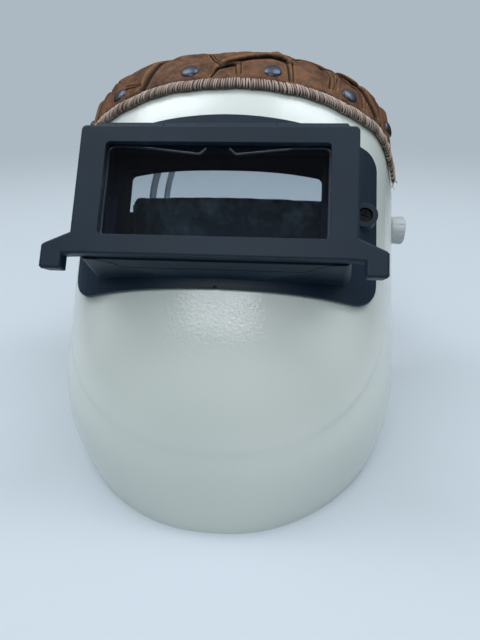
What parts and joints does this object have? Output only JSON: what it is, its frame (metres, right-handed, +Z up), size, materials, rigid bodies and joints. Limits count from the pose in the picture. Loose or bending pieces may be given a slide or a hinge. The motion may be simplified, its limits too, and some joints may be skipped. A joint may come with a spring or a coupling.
{
  "type": "welding hood with lift-front lens holder",
  "caption": "White welding hood standing on its neck edge, with a black lift-front lens holder, a stitched leather brow trim and a ratchet headgear with crown straps and a brow pad.",
  "frame": {"origin": "centre of the bounding box on the plane that the hood stands on", "axes": "+X to the viewer's right as the hood faces them, +Y back from the face towards the headgear, +Z up"},
  "size_m": [0.2328, 0.3112, 0.2235],
  "materials": {
    "white_shell": "gloss",
    "black_nylon": "satin",
    "black_steel": "satin",
    "plated_steel": "satin",
    "clear_plate": "clear",
    "spring_steel": "satin",
    "brown_leather": "satin",
    "cotton_thread": "matte",
    "gunmetal_rivet": "gloss",
    "dark_plastic": "satin",
    "black_suede": "matte",
    "grey_plastic": "satin",
    "friction_fibre": "matte",
    "light_grey_plastic": "satin"
  },
  "bodies": {
    "hood": {"shell": "white_shell", "lens_base": "black_nylon", "holder_screws": "black_steel", "clamp_wedges": "black_nylon", "clamp_nuts": "plated_steel", "inner_cover_plate": "clear_plate", "plate_clips": "black_nylon", "hinge_pin": "spring_steel", "leather_trim": "brown_leather", "stitched_edge": "cotton_thread", "rivets": "gunmetal_rivet", "outer_washer_left": "plated_steel", "outer_washer_right": "plated_steel"},
    "lift_front": {"lift_front": "black_nylon", "front_cover_plate": "clear_plate", "cover_spring": "spring_steel"},
    "headgear": {"headband": "dark_plastic", "brow_pad": "black_suede", "crown_strap_front": "grey_plastic", "crown_strap_rear": "grey_plastic", "strap_pegs": "dark_plastic", "side_arm_left": "dark_plastic", "side_arm_right": "dark_plastic", "arm_rivets": "plated_steel", "pivot_stud_left": "plated_steel", "pivot_stud_right": "plated_steel", "inner_washer_left": "friction_fibre", "inner_washer_right": "friction_fibre", "ratchet_housing": "dark_plastic", "strap_keepers": "dark_plastic", "nape_pad": "black_suede"},
    "tilt_knob_left": {"tilt_knob_left": "light_grey_plastic"},
    "tilt_knob_right": {"tilt_knob_right": "light_grey_plastic"},
    "ratchet_knob": {"ratchet_knob": "dark_plastic", "ratchet_pinion": "grey_plastic"},
    "nape_strap_left": {"nape_strap_left": "dark_plastic"},
    "nape_strap_right": {"nape_strap_right": "dark_plastic"}
  },
  "joints": [
    {"name": "lens_lift", "type": "hinge", "parent": "hood", "child": "lift_front", "pos_m": [0, -0.07735, 0.18995], "axis": [-1, 0, 0], "range_deg": [0, 100]},
    {"name": "headgear_tilt", "type": "hinge", "parent": "hood", "child": "headgear", "pos_m": [0, 0.01545, 0.11301], "axis": [1, 0, 0], "range_deg": [-35, 50]},
    {"name": "tilt_knob_left_turn", "type": "hinge", "parent": "headgear", "child": "tilt_knob_left", "pos_m": [-0.11, 0.01545, 0.11301], "axis": [1, 0, 0], "continuous": true},
    {"name": "tilt_knob_right_turn", "type": "hinge", "parent": "headgear", "child": "tilt_knob_right", "pos_m": [0.11, 0.01545, 0.11301], "axis": [1, 0, 0], "continuous": true},
    {"name": "ratchet_turn", "type": "hinge", "parent": "headgear", "child": "ratchet_knob", "pos_m": [0, 0.14099, 0.07222], "axis": [0, 0.9511, -0.309], "range_deg": [0, 250]},
    {"name": "nape_left_draw", "type": "hinge", "parent": "headgear", "child": "nape_strap_left", "pos_m": [0, 0.06015, 0.09848], "axis": [0, -0.309, -0.9511], "range_deg": [0, 8.98]},
    {"name": "nape_right_draw", "type": "hinge", "parent": "headgear", "child": "nape_strap_right", "pos_m": [0, 0.06015, 0.09848], "axis": [0, 0.309, 0.9511], "range_deg": [0, 8.78]}
  ],
  "couplings": [
    {"joint": "nape_left_draw", "follows": "ratchet_turn", "ratio": 0.035897},
    {"joint": "nape_right_draw", "follows": "ratchet_turn", "ratio": 0.035088}
  ]
}
